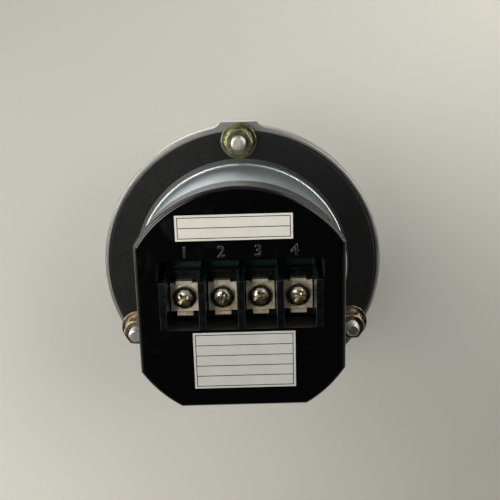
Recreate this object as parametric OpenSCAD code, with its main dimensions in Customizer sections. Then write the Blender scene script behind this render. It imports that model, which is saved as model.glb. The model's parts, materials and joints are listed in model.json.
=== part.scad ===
// Panel-mount manual pulse generator with handwheel, in millimetres.
// The wheel turns about Y. The wheel faces -Y, the terminals face +Y, and +Z is up.
// The origin is the centre of the panel seating plane, which is the rear face of the gasket.

/* [Panel flange] */
// Radius of the pilot that enters the panel cut-out
pilot_r = 30; // [29.6:0.1:30.3]
// Length of the pilot behind the seating plane
pilot_len = 3; // [2.4:0.1:4]
// Radius of the pilot's rear edge
pilot_round = 0.6; // [0.3:0.1:0.8]
// Width of the collar between the pilot and the gasket
collar_w = 1; // [0.8:0.1:1.4]
// Distance of the collar in front of the seating plane
collar_drop = 0.3; // [0.2:0.05:0.5]
// Width of the metal rim outside the gasket's groove
rim_w = 1.1; // [0.9:0.1:2]
// Distance of the metal rim in front of the seating plane
rim_drop = 1; // [0.7:0.1:1.4]
// Radius of the rim's rear outer edge
rim_round = 0.7; // [0.4:0.1:1]
// Thickness of the web that carries the studs and the bearing boss
web_t = 4; // [3.4:0.1:4.6]
// Depth of the bezel that surrounds the wheel's skirt, from the rim's rear face
bezel_depth = 8; // [7:0.1:9]
// Width of the bezel
bezel_w = 5; // [4.4:0.1:5.4]
// Chamfer on the bezel's front outer edge
bezel_chamfer = 1.6; // [0.8:0.1:2.4]
// Width of the top lug across its flat outer end
lug_w = 9.8; // [8.6:0.1:11]
// Distance of the lug's end outside the flange
lug_rise = 1.1; // [0.8:0.1:2]
// Radius of the concave blend at each side of the lug
lug_blend = 4.5; // [3:0.5:6]

/* [Gasket] */
// Thickness of the gasket
gasket_t = 2; // [1.6:0.1:2.4]
// Distance from the stud circle to the gasket's outer edge
gasket_border = 2.5; // [2.3:0.1:3]
// Radius along the gasket's outer edge
gasket_round = 0.4; // [0.2:0.1:0.6]
// Width of the groove between the gasket and the rim
groove_w = 0.4; // [0.2:0.1:0.6]
// Clearance between the gasket and the metal inside it
gasket_gap = 0.1; // [0.05:0.05:0.2]
// Depth to which the washers bed into the gasket
washer_bed = 0.2; // [0.1:0.05:0.3]

/* [Mounting hardware] */
// Radius of a stud over its thread
stud_r = 2; // [1.9:0.05:2.1]
// Depth of the thread, which is left off under the nut
thread_depth = 0.25; // [0.2:0.05:0.35]
// Distance of a stud's end behind the seating plane
stud_reach = 8.1; // [7.4:0.1:9]
// Chamfer on a stud's end
stud_chamfer = 0.4; // [0.2:0.1:0.5]
// Length of thread in the web
stud_grip = 3.2; // [2.6:0.1:3.3]
// Outer radius of a flat washer
washer_r = 4.95; // [4.5:0.05:5]
// Clearance between a flat washer and the collar
washer_gap = 0.05; // [0.05:0.05:0.3]
// Thickness of a flat washer
washer_t = 0.8; // [0.6:0.1:1]
// Outer radius of a spring washer
spring_r = 3.8; // [3.5:0.1:3.9]
// Thickness of a spring washer
spring_t = 1; // [0.8:0.1:1.2]
// Width of the split in a spring washer
spring_split = 0.7; // [0.4:0.1:1]
// Distance across the flats of a nut
nut_af = 7; // [6.8:0.1:7.2]
// Height of a nut
nut_h = 3.2; // [2.8:0.1:3.6]
// Radial clearance of nuts and washers on a stud
fastener_gap = 0.15; // [0.1:0.05:0.25]

/* [Body can] */
// Step from the pilot in to the can's curved wall
can_step = 0.7; // [0.5:0.1:1]
// Distance from each end of the terminal strip out to the can's side wall
can_margin = 4.95; // [4.7:0.05:5.2]
// Wall of the can
can_wall = 2; // [1.6:0.1:2.2]
// Distance from the circuit board back to the can's rear edge
board_recess = 4.6; // [4.2:0.1:5]

/* [Rear cover] */
// Length of the cover behind the can
cover_len = 7.8; // [7.4:0.1:8.6]
// Step from the can's curved wall out to the cover's
cover_step = 0.7; // [0.4:0.1:0.7]
// Step from the can's flat walls out to the cover's
flat_step = 0.5; // [0.3:0.1:0.7]
// Wall of the cover
cover_wall = 1.6; // [1.4:0.1:1.8]
// Radius along the cover's rear edge
cover_round = 1; // [0.6:0.1:1.3]
// Length of the lip that enters the can
lip_len = 2.6; // [2:0.1:3]
// Thickness of that lip
lip_t = 1.2; // [1:0.1:1.4]
// Clearance between that lip and the can
lip_gap = 0.1; // [0.05:0.05:0.2]
// Opening above the terminal strip, where the wires pass
wire_gap = 4.9; // [4.4:0.1:5.4]
// Clearance round the terminal strip in the window
window_gap = 0.25; // [0.15:0.05:0.4]
// Depth of the skirt round the window
skirt_len = 8.9; // [8.5:0.1:9.5]
// Thickness of that skirt
skirt_t = 1; // [0.8:0.1:1.2]

/* [Terminal strip] */
// Number of terminals
poles = 4; // [3:1:4]
// Distance between terminals
pole_pitch = 9.5; // [9:0.1:9.6]
// Height of the row of screws above the axis
pole_z = 0.8; // [0.6:0.1:1]
// Thickness of a barrier
barrier_t = 1.7; // [1.4:0.1:1.9]
// Distance of the barriers' rear edges in front of the cover's rear face
barrier_drop = 0.1; // [0:0.1:0.6]
// Distance from the row of screws down to the strip's lower edge
strip_below = 5.8; // [5.5:0.1:6]
// Distance from the row of screws up to the strip's upper edge
strip_above = 6.5; // [6.1:0.1:6.9]
// Height of the strip's base above the circuit board
strip_base_t = 3.7; // [3.2:0.1:4]
// Distance of the buttresses above the strip's upper edge
buttress_rise = 2.1; // [1.6:0.1:2.5]
// Thickness of a buttress
buttress_t = 0.9; // [0.7:0.1:1.1]
// Clearance between a clamp plate and the barriers
clamp_gap = 0.35; // [0.3:0.05:0.5]
// Height of a clamp plate
clamp_h = 7.4; // [7:0.1:7.6]
// Thickness of a clamp plate
clamp_t = 0.8; // [0.6:0.1:1]
// Width of a clamp plate's turned-up tab
tab_w = 4; // [3.6:0.1:4.4]
// Rise of a clamp plate's turned-up tab
tab_rise = 1.1; // [0.8:0.1:1.4]
// Radius of a terminal screw's head
head_r = 3; // [2.7:0.1:3.1]
// Height of a terminal screw's head
head_h = 2.1; // [1.8:0.1:2.3]
// Radius of a terminal screw's shank
shank_r = 1.5; // [1.3:0.1:1.6]
// Length of a terminal screw's shank
shank_len = 3.4; // [3:0.1:3.6]

/* [Circuit board] */
// Distance from the shaft's end to the board
board_clear = 3.7; // [3.3:0.1:4.2]
// Thickness of the board
board_t = 1.6; // [1.4:0.1:1.7]
// Clearance between the board's edge and the can
board_gap = 0.6; // [0.4:0.1:0.9]
// Clearance between a board post and what lies inside the circle of posts
post_gap = 0.5; // [0.4:0.1:0.8]
// Radius of a board post
post_r = 2; // [1.8:0.1:2.1]
// Radius of a board screw's head
board_head_r = 2; // [1.8:0.1:2.2]

/* [Bearings] */
// Bore radius of a bearing, which is the shaft's radius
bearing_bore_r = 4; // [3.8:0.1:4.1]
// Outer radius of a bearing
bearing_r = 8; // [7.9:0.1:8.3]
// Width of a bearing
bearing_w = 5; // [4.6:0.1:5.2]
// Distance between the two bearings
bearing_span = 6.4; // [6:0.1:6.8]
// Number of balls in a bearing
ball_count = 9; // [7:1:9]
// Radius of a ball
ball_r = 1.15; // [1:0.05:1.2]
// Clearance between a ball and its grooves
ball_gap = 0.12; // [0.08:0.02:0.15]
// Wall of the bearing boss
boss_wall = 3; // [2.6:0.1:3.5]
// Thickness of the retaining rings
clip_t = 0.8; // [0.7:0.05:0.9]

/* [Click detent and encoder] */
// Number of teeth, slots and graduations round the wheel
divisions = 100; // [50:50:100]
// Radius of the toothed rotor
rotor_r = 13; // [12.8:0.1:13.1]
// Depth of a tooth
tooth_depth = 0.4; // [0.3:0.05:0.5]
// Air gap between the rotor and the toothed ring round it
air_gap = 0.4; // [0.3:0.05:0.5]
// Thickness of the rotor
rotor_t = 1.8; // [1.6:0.1:2]
// Thickness of the toothed ring, across its radius
pole_ring_t = 2; // [1.8:0.1:2.2]
// Thickness of the ring magnet, across its radius
magnet_t = 2.6; // [2.2:0.1:2.8]
// Radius of the slotted disc
disc_r = 17; // [16.8:0.1:17.2]
// Thickness of the slotted disc
disc_t = 0.3; // [0.2:0.05:0.4]
// Length of a slot in the disc
slot_len = 2.2; // [1.8:0.1:2.6]
// Wall of the disc's hub where it carries the disc
disc_hub_t = 1; // [0.8:0.1:1.4]
// Step on which the disc rests
disc_step = 1; // [0.8:0.1:1.4]

/* [Handwheel] */
// Running clearance between the wheel's skirt and the bezel
wheel_gap = 0.5; // [0.4:0.05:0.7]
// Wall of the wheel
wheel_wall = 2.2; // [1.8:0.1:2.5]
// Rise of the dial's cone from its outer to its inner edge
dial_rise = 2.4; // [1.8:0.1:3]
// Thickness of the dial
dial_t = 0.8; // [0.6:0.1:1]
// Distance from the skirt in to the wheel's grip
dial_w = 7; // [6:0.1:8]
// Length of the grip in front of the dial
grip_len = 10.5; // [9.5:0.1:12]
// Radius round the grip's front edge
grip_round = 1.8; // [1.2:0.1:2.2]
// Number of flutes round the grip
flutes = 40; // [30:2:44]
// Radius of a flute
flute_r = 1.3; // [1:0.1:1.5]
// Depth of a flute
flute_depth = 0.6; // [0.4:0.1:0.8]
// Width of the rim round the dish in the wheel's face
dish_rim = 4.1; // [3.6:0.1:4.4]
// Depth of that dish
dish_depth = 1.8; // [1.4:0.1:2.2]
// Overlap of the centre cap round the nut's recess
cap_overlap = 1.5; // [1:0.1:2]

/* [Spinner knob] */
// Clearance between the knob and the edge of the dish
knob_margin = 1.4; // [1:0.1:2]
// Length of the knob
knob_len = 14; // [12:0.5:16]
// Largest radius of the knob
knob_r = 6; // [5.5:0.1:6.3]
// Radius of the pin that carries the knob
spinner_pin_r = 2; // [1.8:0.1:2.2]
// Running clearance between the knob and its pin
spinner_gap = 0.06; // [0.03:0.01:0.09]

/* [Labels] */
// Width of the upper label
upper_label_w = 27.8; // [26:0.2:28]
// Height of the upper label
upper_label_h = 6.2; // [5:0.2:6.2]
// Width of the lower label
lower_label_w = 25; // [22:0.2:26]
// Height of the lower label
lower_label_h = 14.6; // [12:0.2:15]
// Thickness of a label
label_t = 0.12; // [0.1:0.01:0.2]

/* [Hidden] */
$fn = 96;

stud_angles = [90, 210, 330];
post_angles = [48, 132, 270];
cut = 1;                    // how far a cutting shape runs past what it cuts
thread_gap = 0.05;          // radial clearance of a screw in its tapped hole

// Pan heads: radius of the dome and reach and half width of the cross by the head's radius, and
// height of the cross's floor by the head's height
dome_ratio = 3;
cross_ratio = 0.6;
cross_half_ratio = 0.14;
cross_floor_ratio = 0.45;

// Flange, from the pilot outwards
collar_r = pilot_r + collar_w;
stud_circle_r = collar_r + washer_gap + washer_r;
gasket_r = stud_circle_r + gasket_border;
groove_r = gasket_r + groove_w;
flange_r = groove_r + rim_w;
lug_reach = flange_r + lug_rise;
bezel_inner_r = flange_r - bezel_w;
rim_y = -rim_drop;
bezel_y = rim_y - bezel_depth;
web_rear_y = -gasket_t;
web_y = web_rear_y - web_t;
floor_rise = 0.5;
floor_y = web_rear_y + floor_rise;
// Each blend touches a circle just inside the flange's and ends at the lug's corner
foot_sink = 0.05;
corner_r = sqrt(pow(lug_w / 2, 2) + pow(lug_reach, 2));
blend_circle_r = flange_r - foot_sink + lug_blend;
blend_a = atan2(lug_w / 2, lug_reach)
    + acos((pow(blend_circle_r, 2) + pow(corner_r, 2) - pow(lug_blend, 2)) / (2 * blend_circle_r * corner_r));
foot_x = (flange_r - foot_sink) * sin(blend_a);
mark_w = 2.6;
mark_depth = 0.3;
mark_margin = 0.6;

// Mounting hardware, stacked rearward from the bedded washer
stud_root_r = stud_r - thread_depth;
washer_y = -washer_bed;
spring_y = washer_y + washer_t;
nut_y = spring_y + spring_t;
nut_top_y = nut_y + nut_h;
nut_circle_r = nut_af / 2 / cos(30);
nut_bevel = 0.35;

// Bearings: the front one against the wave washer, the rear one against its retaining ring
wave_t = 0.5;
wave_gap = 0.1;
shoulder_w = 1;
shoulder_r = bearing_r - shoulder_w;
bearing_drop = 0.7;
front_bearing_y = web_y + bearing_drop;
front_seat_end = front_bearing_y + bearing_w + wave_t;
rear_bearing_y = front_bearing_y + bearing_w + bearing_span;
rear_bearing_end = rear_bearing_y + bearing_w;
clip_gap = 0.05;
clip_bite = 0.6;            // how far a retaining ring enters the bore
shaft_clip_bite = 0.3;      // how far one enters the shaft, and stands out over the inner ring
clip_opening = 3;
seat_gap = 0.02;            // close seats: bearings in the boss, the wheel on its shaft
boss_lip = 1;
boss_r = bearing_r + boss_wall;
boss_end = rear_bearing_end + clip_t + boss_lip;
pitch_r = (bearing_bore_r + bearing_r) / 2;
raceway_r = ball_r + ball_gap;
ring_gap = 0.8;
cage_half_t = 0.5;
cage_rim = 0.5;
cage_drop = 0.35;
pocket_gap = 0.05;

// Detent and encoder, stacked along the shaft behind the boss
stator_y = boss_end;
rotor_inset = 0.3;
stator_t = rotor_t + 2 * rotor_inset;
rotor_y = stator_y + rotor_inset;
stator_bore_r = rotor_r + air_gap;
magnet_bore_r = stator_bore_r + pole_ring_t;
magnet_r = magnet_bore_r + magnet_t;
stator_ledge = 0.5;
hub_y = rotor_y + rotor_t;
disc_lift = 3;
disc_y = stator_y + stator_t + disc_lift;
hub_rim = 1.4;
hub_end = disc_y + hub_rim;
disc_bore_r = bearing_bore_r + disc_hub_t;
disc_hub_r = disc_bore_r + disc_step;
shaft_tip = 0.6;
shaft_end = hub_end + shaft_tip;
slot_border = 0.9;
slot_r = disc_r - slot_border - slot_len / 2;

// Board, can and cover, stacked behind the shaft
board_front_y = shaft_end + board_clear;
board_y = board_front_y + board_t;
can_end = board_y + board_recess;
cover_end = can_end + cover_len;

// Optical head: two arms that straddle the disc
head_w = 10;
arm_gap = 1.8;
arm_front_t = 2;
head_roof = 2.2;
head_clear = 0.8;
arm_below_slots = 3;
throat_y = disc_y + disc_t / 2 - arm_gap / 2;
optical_y = throat_y - arm_front_t;
throat_end = throat_y + arm_gap;
throat_top = disc_r + head_clear;
optical_top = throat_top + head_roof;
optical_bottom = slot_r - arm_below_slots;
led_r = 1.5;
led_round = 0.7;
sensor_w = 3.2;
sensor_t = 1.2;
mask_w = 4;
mask_h = 2.6;
mask_t = 0.4;
mask_window_w = 0.8;
mask_window_h = 0.6;

// Circuit board and what stands on it
post_circle_r = max(magnet_r, disc_r) + post_gap + post_r;
post_wall_gap = 0.6;
board_head_h = 1.3;
board_shank_r = 1;
board_hole_len = 5;
board_tip_gap = 0.5;
chip_drop = 12;
chip_w = 6;
chip_h = 5.4;
chip_t = 1.6;
chip_lift = 0.1;
chip_lead = 0.8;
chip_lead_t = 0.3;
chip_lead_w = 0.4;
chip_pitch = 1.27;
capacitor_r = 2.5;
capacitor_base_t = 0.6;
capacitor_gap = 1;
capacitor_y = disc_y + disc_t + capacitor_gap;
capacitor_x = 12.5;

// Terminal strip
strip_w = poles * pole_pitch + barrier_t;
strip_bottom = pole_z - strip_below;
strip_top = pole_z + strip_above;
strip_face_y = board_y + strip_base_t;
barrier_end = cover_end - barrier_drop;
clamp_end = strip_face_y + clamp_t;
clamp_w = pole_pitch - barrier_t - 2 * clamp_gap;
pole_x = [for (i = [0 : poles - 1]) (i - (poles - 1) / 2) * pole_pitch];
barrier_x = [for (i = [0 : poles]) (i - poles / 2) * pole_pitch];
barrier_slope = 0.5;
buttress_foot = 2.4;
pin_gap = 0.1;
pin_w = 1;
pin_h = 0.8;
pin_drop = 3.6;
pin_z = pole_z - pin_drop;
pin_seat = 2.5;
pin_tail = 1.8;

// Can and cover outlines, and the window
can_r = pilot_r - can_step;
can_side = strip_w / 2 + can_margin;
can_bottom = post_circle_r + post_r + post_wall_gap + can_wall;
cover_r = can_r + cover_step;
cover_side = can_side + flat_step;
cover_bottom = can_bottom + flat_step;
lip_r = can_r - can_wall - lip_gap;
lip_side = can_side - can_wall - lip_gap;
lip_bottom = can_bottom - can_wall - lip_gap;
lip_root = cover_wall / 2;
window_w = strip_w + 2 * window_gap;
window_bottom = strip_bottom - window_gap;
window_top = strip_top + wire_gap;

// Labels: the upper one's far corner keeps clear of the cover's rounded edge
label_margin = 1.15;
upper_label_x = 1.2;
upper_label_corner_r = cover_r - cover_round - label_margin;
upper_label_corner_x = upper_label_w / 2 + upper_label_x;
upper_label_top = sqrt(pow(upper_label_corner_r, 2) - pow(upper_label_corner_x, 2));
lower_label_x = -0.45;
lower_label_drop = 0.7;
lower_label_top = window_bottom - lower_label_drop;

// Wheel
collar_len = 2;
key_drop = 0.8;
key_flat = bearing_bore_r - key_drop;
shaft_collar_y = front_bearing_y - collar_len;
skirt_gap = 0.6;
dial_gap = 0.6;
skirt_r = bezel_inner_r - wheel_gap;
skirt_y = web_y - skirt_gap;
dial_y = bezel_y - dial_gap;
grip_r = skirt_r - dial_w;
dial_foot = 0.3;
dial_in_r = grip_r + dial_foot;
dial_in_y = dial_y - dial_rise;
grip_y = dial_in_y - grip_len;
dish_r = grip_r - dish_rim;
dish_y = grip_y + dish_depth;
shoulder_step = 1;
thread_r = bearing_bore_r - shoulder_step;
wheel_nut_af = 10;
wheel_nut_h = 3;
wheel_washer_rim = 1;
wheel_washer_r = wheel_nut_af / 2 + wheel_washer_rim;
wheel_washer_t = 1;
nut_recess_gap = 1;
nut_recess_r = wheel_washer_r + nut_recess_gap;
hub_wall = 2;
hub_r = nut_recess_r + hub_wall;
nut_seat_drop = 5.2;
nut_seat_y = dish_y + nut_seat_drop;
thread_tip = 0.8;
thread_end = nut_seat_y - wheel_washer_t - wheel_nut_h - thread_tip;
wheel_ribs = 6;
rib_t = 1.6;
flute_end_gap = 0.4;
cap_r = nut_recess_r + cap_overlap;
cap_t = 0.8;
cap_bevel = 0.4;
cap_plug = 2.4;
cap_plug_t = 0.8;

// Spinner
spinner_offset = dish_r - knob_margin - knob_r;
spinner_washer_t = 0.5;
head_gap = 0.3;             // end play of the knob, at either end
knob_y = dish_y - spinner_washer_t - head_gap;
knob_end = knob_y - knob_len;
knob_round = 2;
knob_taper = 1;
pin_head_rim = 1.4;
pin_head_r = spinner_pin_r + pin_head_rim;
pin_head_t = 1.4;
pin_head_sink = 0.6;
pin_head_y = knob_end + pin_head_sink;
pin_slot = 0.8;
spinner_boss_t = 2.4;
spinner_boss_r = spinner_pin_r + spinner_boss_t;
spinner_boss_len = 6.2;
spinner_boss_y = dish_y + spinner_boss_len;
spinner_washer_inset = 0.4;

// Turns an (r, y) section about the wheel's axis.
module revolve_y() rotate([-90, 0, 0]) rotate_extrude() children();

// Extrudes an (x, z) outline from y0 to y1.
module extrude_y(y0, y1) translate([0, y1, 0]) rotate([90, 0, 0]) linear_extrude(y1 - y0) children();

// Extrudes a (y, z) outline along X, centred.
module extrude_x(length) rotate([90, 0, 90]) linear_extrude(length, center = true) children();

// A cylinder along Y from y0 to y1.
module bar(r, y0, y1, x = 0, z = 0) translate([x, y0, z]) rotate([-90, 0, 0]) cylinder(r = r, h = y1 - y0);

// A cone along Y, of radius r0 at y0 and r1 at y1.
module cone(r0, r1, y0, y1, x = 0, z = 0)
    translate([x, y0, z]) rotate([-90, 0, 0]) cylinder(r1 = r0, r2 = r1, h = y1 - y0);

// A tube along Y from y0 to y1.
module tube(r, bore_r, y0, y1, x = 0, z = 0) difference() {
    bar(r, y0, y1, x, z);
    bar(bore_r, y0 - cut, y1 + cut, x, z);
}

// A block between two corners.
module block(low, high) translate(low) cube(high - low);

// Copies what stands at the top of the flange to each stud.
module at_studs() for (a = stud_angles) rotate([0, 90 - a, 0]) children();

// Copies a piece on the axis to each board post.
module at_posts() for (a = post_angles)
    translate([post_circle_r * cos(a), 0, post_circle_r * sin(a)]) children();

// Copies a piece at x = 0 to each terminal.
module at_poles() for (x = pole_x) translate([x, 0, 0]) children();

// The outline that the can, the cover and the board share: a circle with three flats.
module d_outline(r, side, bottom) intersection() {
    circle(r);
    translate([-side, -bottom]) square([2 * side, bottom + r]);
}

// A section from (0, y0) to (half, y1) whose far corner is rounded.
module rounded_half(half, y0, y1, round) {
    translate([0, y0]) square([half, y1 - y0 - round]);
    translate([0, y0]) square([half - round, y1 - y0]);
    translate([half - round, y1 - round]) circle(round);
}

// A solid with the shared outline and a rounded rear edge.
module d_solid(r, side, bottom, y0, y1, round) intersection() {
    revolve_y() rounded_half(r, y0, y1, round);
    linear_extrude(4 * r, center = true) for (side_x = [0, 1])
        mirror([side_x, 0]) rounded_half(side, y0, y1, round);
    extrude_x(4 * r) {
        translate([y0, -bottom]) square([y1 - y0 - round, bottom + r + cut]);
        translate([y0, round - bottom]) square([y1 - y0, bottom + r + cut - round]);
        translate([y1 - round, round - bottom]) circle(round);
    }
}

// Half of the flange's section, without the can's wall.
module flange_section() {
    intersection() {
        rounded_half(flange_r, bezel_y, rim_y, rim_round);
        polygon([
            [bezel_inner_r, bezel_y],
            [flange_r - bezel_chamfer, bezel_y],
            [flange_r, bezel_y + bezel_chamfer],
            [flange_r, rim_y],
            [bezel_inner_r, rim_y],
        ]);
    }
    translate([0, web_y]) square([bezel_inner_r + cut, web_t]);
    translate([0, web_y]) square([collar_r, -collar_drop - web_y]);
    rounded_half(pilot_r, web_y, pilot_len, pilot_round);
}

// The lug at the top of the flange: a flat end between two concave blends.
module lug_outline() difference() {
    translate([-foot_x, bezel_inner_r + cut]) square([2 * foot_x, lug_reach - bezel_inner_r - cut]);
    for (side_x = [-1, 1])
        translate([side_x * blend_circle_r * sin(blend_a), blend_circle_r * cos(blend_a)]) circle(lug_blend);
}

// Seats for both bearings, the wave washer and the retaining ring, through the boss.
module bearing_bore() {
    bar(bearing_r + seat_gap, web_y - cut, front_seat_end);
    bar(shoulder_r, web_y, rear_bearing_y + cut);
    bar(bearing_r + seat_gap, rear_bearing_y, boss_end + cut);
    bar(bearing_r + clip_bite, rear_bearing_end, rear_bearing_end + clip_t + clip_gap);
}

module flange_body() color("silver") difference() {
    union() {
        difference() {
            union() {
                revolve_y() flange_section();
                extrude_y(web_y, rim_y) lug_outline();
                extrude_y(floor_y, can_end) d_outline(can_r, can_side, can_bottom);
            }
            extrude_y(floor_y, can_end + cut)
                d_outline(can_r - can_wall, can_side - can_wall, can_bottom - can_wall);
        }
        bar(boss_r, web_y, boss_end);
        tube(magnet_r, stator_bore_r + stator_ledge, web_rear_y, stator_y);
        at_posts() bar(post_r, web_rear_y, board_front_y);
    }
    tube(groove_r, collar_r, web_rear_y, cut);
    bearing_bore();
    at_studs() bar(stud_root_r, web_rear_y - stud_grip, web_rear_y + cut, z = stud_circle_r);
    at_posts() bar(board_shank_r + thread_gap, board_front_y - board_hole_len, board_front_y + cut);
    // Index mark at the top of the bezel, a shallow triangle
    extrude_y(bezel_y - cut, bezel_y + mark_depth) polygon([
        [0, bezel_inner_r + mark_margin],
        [mark_w / 2, flange_r - bezel_chamfer - mark_margin],
        [-mark_w / 2, flange_r - bezel_chamfer - mark_margin],
    ]);
}

module panel_gasket() color("#26282a") difference() {
    revolve_y() rounded_half(gasket_r, web_rear_y, 0, gasket_round);
    bar(collar_r + gasket_gap, web_rear_y - cut, cut);
    at_studs() {
        bar(stud_r + fastener_gap, web_rear_y - cut, cut, z = stud_circle_r);
        bar(washer_r + gasket_gap, washer_y, cut, z = stud_circle_r);
    }
}

// Thread is left as plain cylinders: the root under the nut, the full size on the free end.
module mounting_studs() color("gainsboro") at_studs() {
    bar(stud_root_r, web_rear_y - stud_grip, nut_top_y, z = stud_circle_r);
    bar(stud_r, nut_top_y, stud_reach - stud_chamfer, z = stud_circle_r);
    cone(stud_r, stud_r - stud_chamfer, stud_reach - stud_chamfer, stud_reach, z = stud_circle_r);
}

module flat_washers() color("#c9b458") at_studs()
    tube(washer_r, stud_root_r + fastener_gap, washer_y, spring_y, z = stud_circle_r);

// The split runs aslant, as a spring washer's does.
module spring_washers() color("#c9b458") at_studs() difference() {
    tube(spring_r, stud_root_r + fastener_gap, spring_y, nut_y, z = stud_circle_r);
    translate([0, (spring_y + nut_y) / 2, stud_circle_r + spring_r]) rotate([0, 0, 30])
        cube([spring_split, 3 * spring_t, 2 * spring_r], center = true);
}

module hex_nuts() color("#c9b458") at_studs() translate([0, 0, stud_circle_r]) difference() {
    intersection() {
        translate([0, nut_y, 0]) rotate([-90, 0, 0]) cylinder(r = nut_circle_r, h = nut_h, $fn = 6);
        revolve_y() polygon([
            [0, nut_y],
            [nut_circle_r, nut_y],
            [nut_circle_r, nut_top_y - nut_bevel],
            [nut_circle_r - 2 * nut_bevel, nut_top_y],
            [0, nut_top_y],
        ]);
    }
    bar(stud_root_r + fastener_gap, nut_y - cut, nut_top_y + cut);
}

// The opening over the terminals. It leaves the skirt only on its sides and lower edge.
module window_cut() block(
    [-window_w / 2, cover_end - skirt_len - cut, window_bottom],
    [window_w / 2, cover_end + cut, window_top]
);

module window_skirt() block(
    [-window_w / 2 - skirt_t, cover_end - skirt_len, window_bottom - skirt_t],
    [window_w / 2 + skirt_t, cover_end - cover_wall / 2, window_top]
);

module rear_cover() color("#0b0b0c") difference() {
    union() {
        difference() {
            d_solid(cover_r, cover_side, cover_bottom, can_end, cover_end, cover_round);
            extrude_y(can_end - cut, cover_end - cover_wall)
                d_outline(cover_r - cover_wall, cover_side - cover_wall, cover_bottom - cover_wall);
        }
        difference() {
            union() {
                extrude_y(can_end, can_end + lip_t)
                    d_outline(cover_r - lip_root, cover_side - lip_root, cover_bottom - lip_root);
                extrude_y(can_end - lip_len, can_end + lip_t) d_outline(lip_r, lip_side, lip_bottom);
            }
            extrude_y(can_end - lip_len - cut, can_end + lip_t + cut)
                d_outline(lip_r - lip_t, lip_side - lip_t, lip_bottom - lip_t);
        }
        window_skirt();
    }
    window_cut();
}

module label(width, height, x, z)
    block([x - width / 2, cover_end, z], [x + width / 2, cover_end + label_t, z + height]);

module upper_label() color("#e9e6dc")
    label(upper_label_w, upper_label_h, upper_label_x, upper_label_top - upper_label_h);

module lower_label() color("#dcdedb")
    label(lower_label_w, lower_label_h, lower_label_x, lower_label_top - lower_label_h);

// A barrier's outline in (y, z): full height over the terminals, with its upper end sloped.
module barrier_outline() polygon([
    [board_y, strip_bottom],
    [barrier_end, strip_bottom],
    [barrier_end, strip_top - barrier_slope],
    [strip_face_y, strip_top],
    [board_y, strip_top],
]);

// A buttress's outline: it runs from the barrier's rear edge down to the board.
module buttress_outline() polygon([
    [board_y, strip_top - cut],
    [barrier_end, strip_top - barrier_slope],
    [board_y + buttress_foot, strip_top + buttress_rise],
    [board_y, strip_top + buttress_rise],
]);

module terminal_block() color("#141416") difference() {
    union() {
        block([-strip_w / 2, board_y, strip_bottom], [strip_w / 2, strip_face_y, strip_top]);
        for (x = barrier_x) translate([x, 0, 0]) {
            extrude_x(barrier_t) barrier_outline();
            extrude_x(buttress_t) buttress_outline();
        }
    }
    at_poles() {
        bar(shank_r + thread_gap, clamp_end - shank_len - thread_gap, strip_face_y + cut, z = pole_z);
        pin_shape(pin_gap, board_y - cut, board_y + pin_seat);
    }
}

// One terminal's solder pin, grown on each side by a gap.
module pin_shape(gap, y0, y1) block(
    [-pin_w / 2 - gap, y0, pin_z - pin_h / 2 - gap],
    [pin_w / 2 + gap, y1, pin_z + pin_h / 2 + gap]
);

module terminal_pins() color("gold") at_poles() pin_shape(0, board_front_y - pin_tail, board_y + pin_seat);

module terminal_clamps() color("#c8c4b6") at_poles() difference() {
    union() {
        block(
            [-clamp_w / 2, strip_face_y, pole_z - clamp_h / 2],
            [clamp_w / 2, clamp_end, pole_z + clamp_h / 2]
        );
        block(
            [-tab_w / 2, strip_face_y, pole_z - clamp_h / 2 - clamp_t],
            [tab_w / 2, clamp_end + tab_rise, pole_z - clamp_h / 2]
        );
        block(
            [-tab_w / 2, strip_face_y, pole_z + clamp_h / 2],
            [tab_w / 2, clamp_end + tab_rise, pole_z + clamp_h / 2 + clamp_t]
        );
    }
    bar(shank_r + thread_gap, strip_face_y - cut, clamp_end + cut, z = pole_z);
}

// A pan-head screw along +Y: its seat is at y, its top is domed, and a cross recess is cut in it.
module pan_screw(r, h, y, shank, length) difference() {
    union() {
        revolve_y() intersection() {
            rounded_half(r, y, y + h, h / 2);
            translate([0, y + h - dome_ratio * r]) circle(dome_ratio * r);
        }
        bar(shank, y - length, y + h / 2);
    }
    for (turn = [45, 135]) rotate([0, turn, 0]) block(
        [-cross_ratio * r, y + cross_floor_ratio * h, -cross_half_ratio * r],
        [cross_ratio * r, y + h + cut, cross_half_ratio * r]
    );
}

module terminal_screws() color("#bdb9a8") at_poles() translate([0, 0, pole_z])
    pan_screw(head_r, head_h, clamp_end, shank_r, shank_len);

module circuit_board() color("#0c5a3c") difference() {
    extrude_y(board_front_y, board_y) d_outline(
        can_r - can_wall - board_gap, can_side - can_wall - board_gap, can_bottom - can_wall - board_gap
    );
    at_posts() bar(board_shank_r + thread_gap, board_front_y - cut, board_y + cut);
    at_poles() pin_shape(pin_gap, board_front_y - cut, board_y + cut);
}

module board_screws() color("silver") at_posts()
    pan_screw(board_head_r, board_head_h, board_y, board_shank_r, board_t + board_hole_len - board_tip_gap);

// A flat-pack circuit under the axis, with four leads on each side.
module board_chips() color("#1a1a1c") translate([0, 0, -chip_drop]) {
    block(
        [-chip_w / 2, board_front_y - chip_t, -chip_h / 2],
        [chip_w / 2, board_front_y - chip_lift, chip_h / 2]
    );
    for (i = [-1.5 : 1.5]) block(
        [-chip_w / 2 - chip_lead, board_front_y - chip_lead_t, i * chip_pitch - chip_lead_w / 2],
        [chip_w / 2 + chip_lead, board_front_y, i * chip_pitch + chip_lead_w / 2]
    );
}

module board_capacitors() color("#8a8f94") for (side_x = [-1, 1]) {
    bar(capacitor_r, capacitor_y, board_front_y, side_x * capacitor_x, -chip_drop);
    translate([side_x * capacitor_x, 0, -chip_drop]) block(
        [-capacitor_r, board_front_y - capacitor_base_t, -capacitor_r],
        [capacitor_r, board_front_y, capacitor_r]
    );
}

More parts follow.
